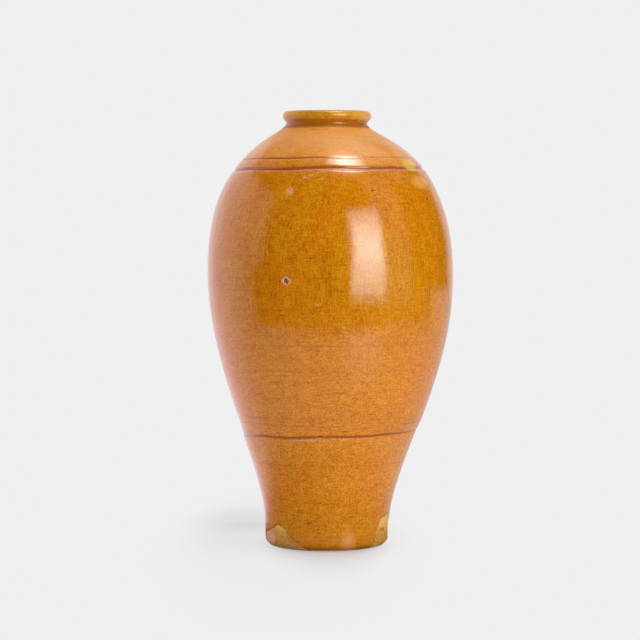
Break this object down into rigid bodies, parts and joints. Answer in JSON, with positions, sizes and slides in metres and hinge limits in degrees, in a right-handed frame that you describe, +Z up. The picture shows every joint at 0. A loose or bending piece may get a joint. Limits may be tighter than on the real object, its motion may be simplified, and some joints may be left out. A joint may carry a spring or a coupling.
{
  "type": "meiping vase",
  "caption": "High-shouldered glazed ceramic vase with a narrow foot, a short neck and a rolled lip, for holding a flowering branch.",
  "frame": {"origin": "centre of the foot, on the plane that the vase stands on", "axes": "+Z up along the axis the vase was thrown on; X and Y are alike"},
  "size_m": [0.2263, 0.2264, 0.4],
  "materials": {
    "stoneware": "bare fired clay, buff",
    "luting_slip": "fired slip, matt",
    "amber_glaze": "glossy amber glaze with fine dark specks",
    "inside_glaze": "glossy amber glaze, thinner than outside"
  },
  "bodies": {
    "root": {"foot_section": "stoneware", "lower_body_section": "stoneware", "upper_body_section": "stoneware", "shoulder_section": "stoneware", "neck_section": "stoneware", "foot_luting_slip": "luting_slip", "belly_luting_slip": "luting_slip", "shoulder_luting_slip": "luting_slip", "neck_luting_slip": "luting_slip", "outer_glaze": "amber_glaze", "inner_glaze": "inside_glaze"}
  },
  "joints": []
}
